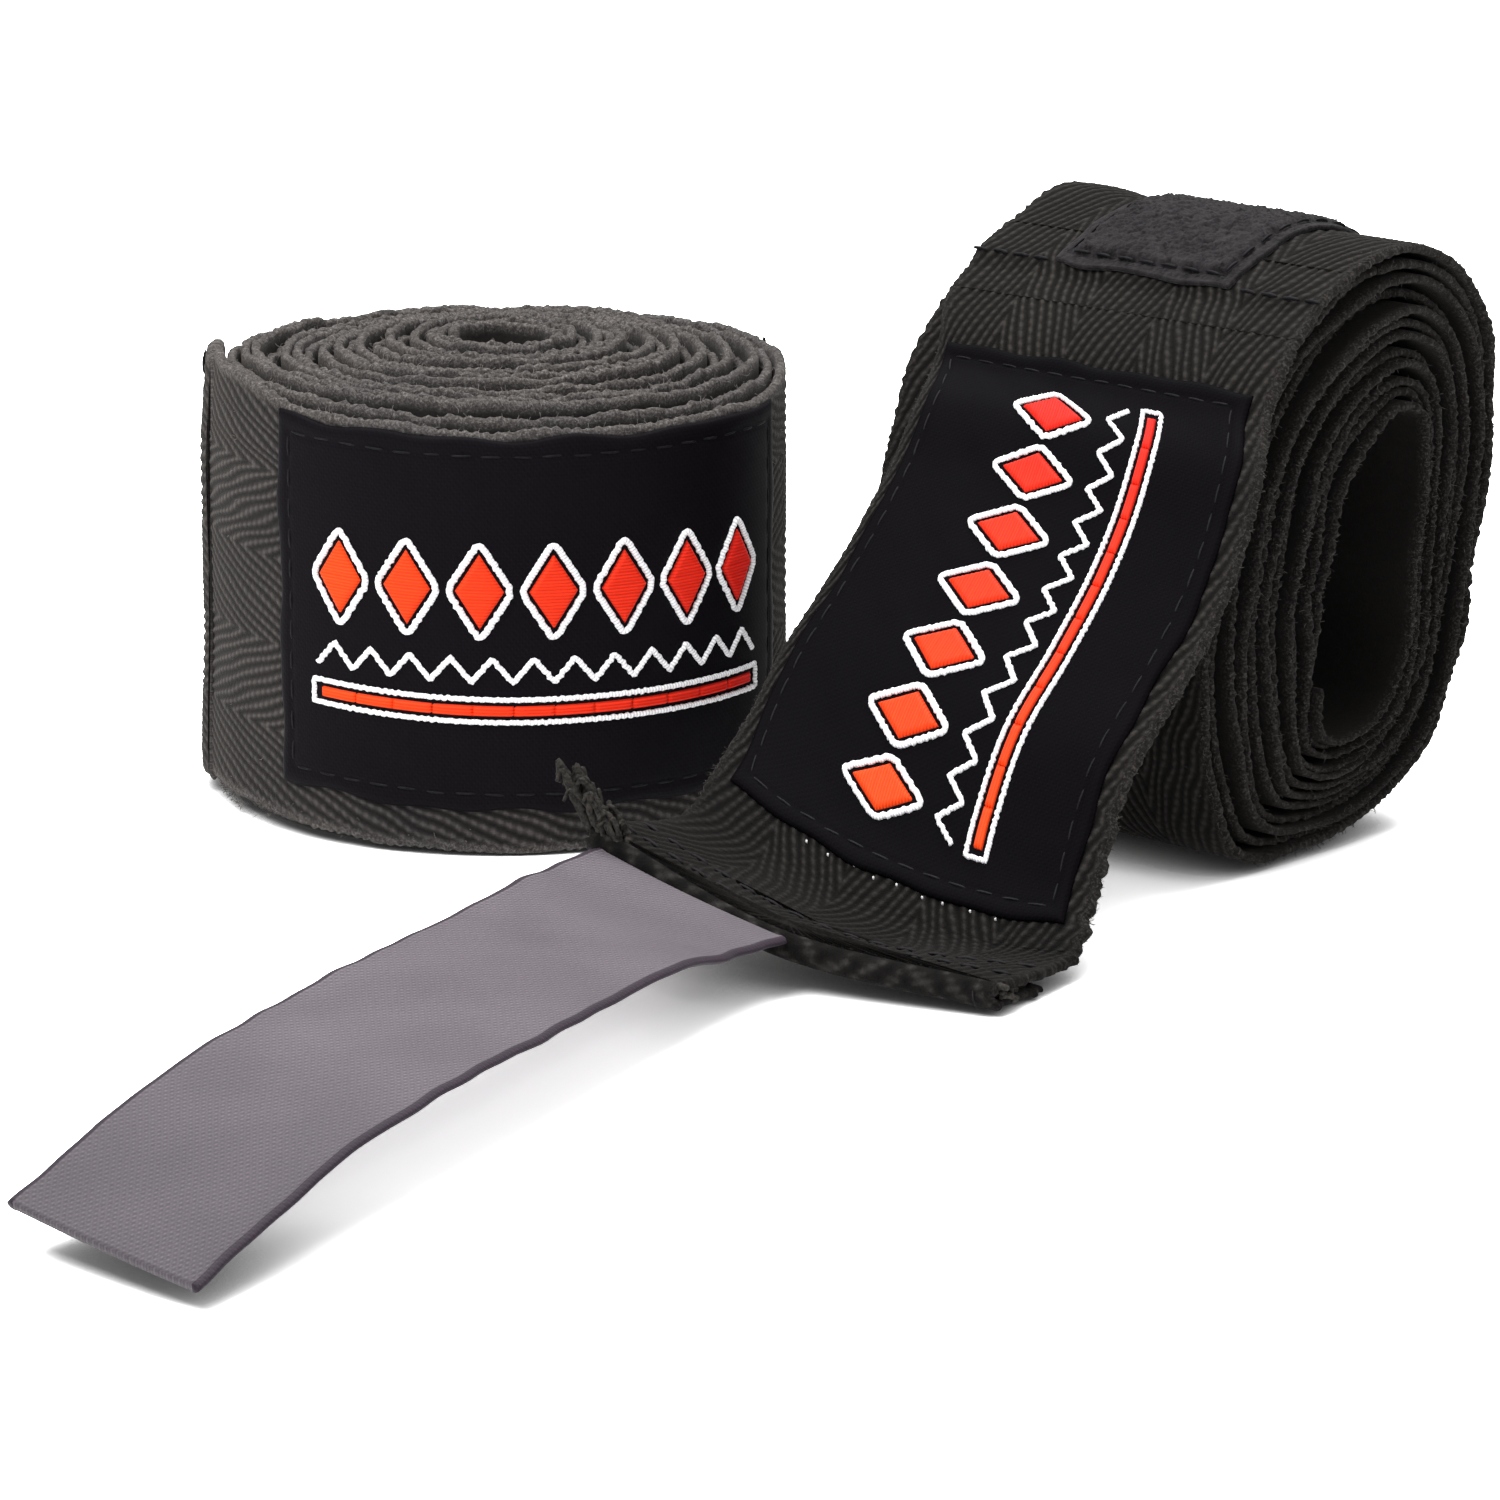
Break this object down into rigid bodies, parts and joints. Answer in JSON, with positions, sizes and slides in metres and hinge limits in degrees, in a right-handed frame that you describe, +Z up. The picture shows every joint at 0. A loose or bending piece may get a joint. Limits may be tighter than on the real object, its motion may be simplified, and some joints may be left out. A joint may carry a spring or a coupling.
{
  "type": "hand wrap",
  "caption": "Pair of boxing hand wraps: one rolled up and closed with its hook tape, one on its rim with label panel, hem and hook tape laid open.",
  "frame": {"origin": "centre of the closed roll's flat base, on the table", "axes": "+Z up along the closed roll's axis, +Y from the label side to the back, +X towards the open wrap"},
  "size_m": [0.1526, 0.219, 0.0698],
  "materials": {
    "closed_band": "knitted cotton, charcoal",
    "open_band": "knitted cotton, dark charcoal",
    "label_satin": "woven satin, black",
    "embroidery": "satin stitch, orange red",
    "stitch_thread": "polyester thread, black",
    "loop_pile": "loop pile, black",
    "tape_weave": "woven backing, grey mauve",
    "hook_field": "moulded hooks, dark grey",
    "thumb_tape": "folded cotton tape, black"
  },
  "bodies": {
    "closed_wrap": {"closed_band_roll": "closed_band", "closed_band_hem": "closed_band", "closed_hem_stitching": "stitch_thread", "closed_label": "label_satin", "closed_label_motif": "embroidery", "closed_label_stitching": "stitch_thread", "closed_loop_patch": "loop_pile", "closed_loop_patch_stitching": "stitch_thread", "closed_cross_seam": "stitch_thread"},
    "closed_tape_near": {"closed_tape_root": "tape_weave", "closed_hooks_root": "hook_field"},
    "closed_tape_far": {"closed_tape_tip": "tape_weave", "closed_hooks_tip": "hook_field"},
    "closed_core_loop": {"closed_thumb_loop": "thumb_tape", "closed_thumb_loop_bartack": "stitch_thread"},
    "open_wrap": {"open_band_roll": "open_band", "open_loop_patch": "loop_pile", "open_loop_patch_stitching": "stitch_thread", "open_cross_seam": "stitch_thread"},
    "open_core_loop": {"open_thumb_loop": "thumb_tape", "open_thumb_loop_bartack": "stitch_thread"},
    "open_tail": {"open_tail_band": "open_band", "open_label": "label_satin", "open_label_motif": "embroidery", "open_label_stitching": "stitch_thread"},
    "open_hem": {"open_band_hem": "open_band", "open_hem_stitching": "stitch_thread"},
    "open_tape_near": {"open_tape_root": "tape_weave", "open_hooks_root": "hook_field"},
    "open_tape_far": {"open_tape_tip": "tape_weave", "open_hooks_tip": "hook_field"}
  },
  "joints": [
    {"name": "open_wrap_apart", "type": "slide", "parent": "closed_wrap", "child": "open_wrap", "axis": [1, 0, 0], "range_m": [0, 0.12]},
    {"name": "tape_root_peel", "type": "hinge", "parent": "closed_wrap", "child": "closed_tape_near", "pos_m": [-0.0334, 0.0031, 0.025], "axis": [0, 0, 1], "range_deg": [0, 48]},
    {"name": "tape_tip_peel", "type": "hinge", "parent": "closed_tape_near", "child": "closed_tape_far", "pos_m": [-0.01263, 0.03127, 0.025], "axis": [0, 0, 1], "range_deg": [0, 80]},
    {"name": "closed_thumb_loop_tilt", "type": "hinge", "parent": "closed_wrap", "child": "closed_core_loop", "pos_m": [0, 0, 0.006], "axis": [-0.4794, 0.8776, 0], "range_deg": [-3, 3]},
    {"name": "label_panel_lift", "type": "hinge", "parent": "open_wrap", "child": "open_tail", "pos_m": [0.0722, -0.01812, 0.06174], "axis": [-0.7313, 0.682, -0.0086], "range_deg": [0, 35]},
    {"name": "hem_fold", "type": "hinge", "parent": "open_tail", "child": "open_hem", "pos_m": [0.0429, -0.0665, 0.0074], "axis": [-0.7929, 0.574, 0.2045], "range_deg": [-8, 40]},
    {"name": "open_tape_root_bend", "type": "hinge", "parent": "open_hem", "child": "open_tape_near", "pos_m": [0.02251, -0.07734, 0.00822], "axis": [-0.8127, 0.52, 0.2629], "range_deg": [-12, 45]},
    {"name": "open_tape_tip_bend", "type": "hinge", "parent": "open_tape_near", "child": "open_tape_far", "pos_m": [-0.00015, -0.1248, 0.0116], "axis": [-0.8362, 0.5366, 0.1127], "range_deg": [-30, 45]},
    {"name": "open_thumb_loop_tilt", "type": "hinge", "parent": "open_wrap", "child": "open_core_loop", "pos_m": [0.07945, -0.00853, 0.017], "axis": [0.7314, -0.682, 0], "range_deg": [-5, 5]}
  ],
  "couplings": [
    {"joint": "tape_root_peel", "follows": "tape_tip_peel", "ratio": 0.6}
  ]
}
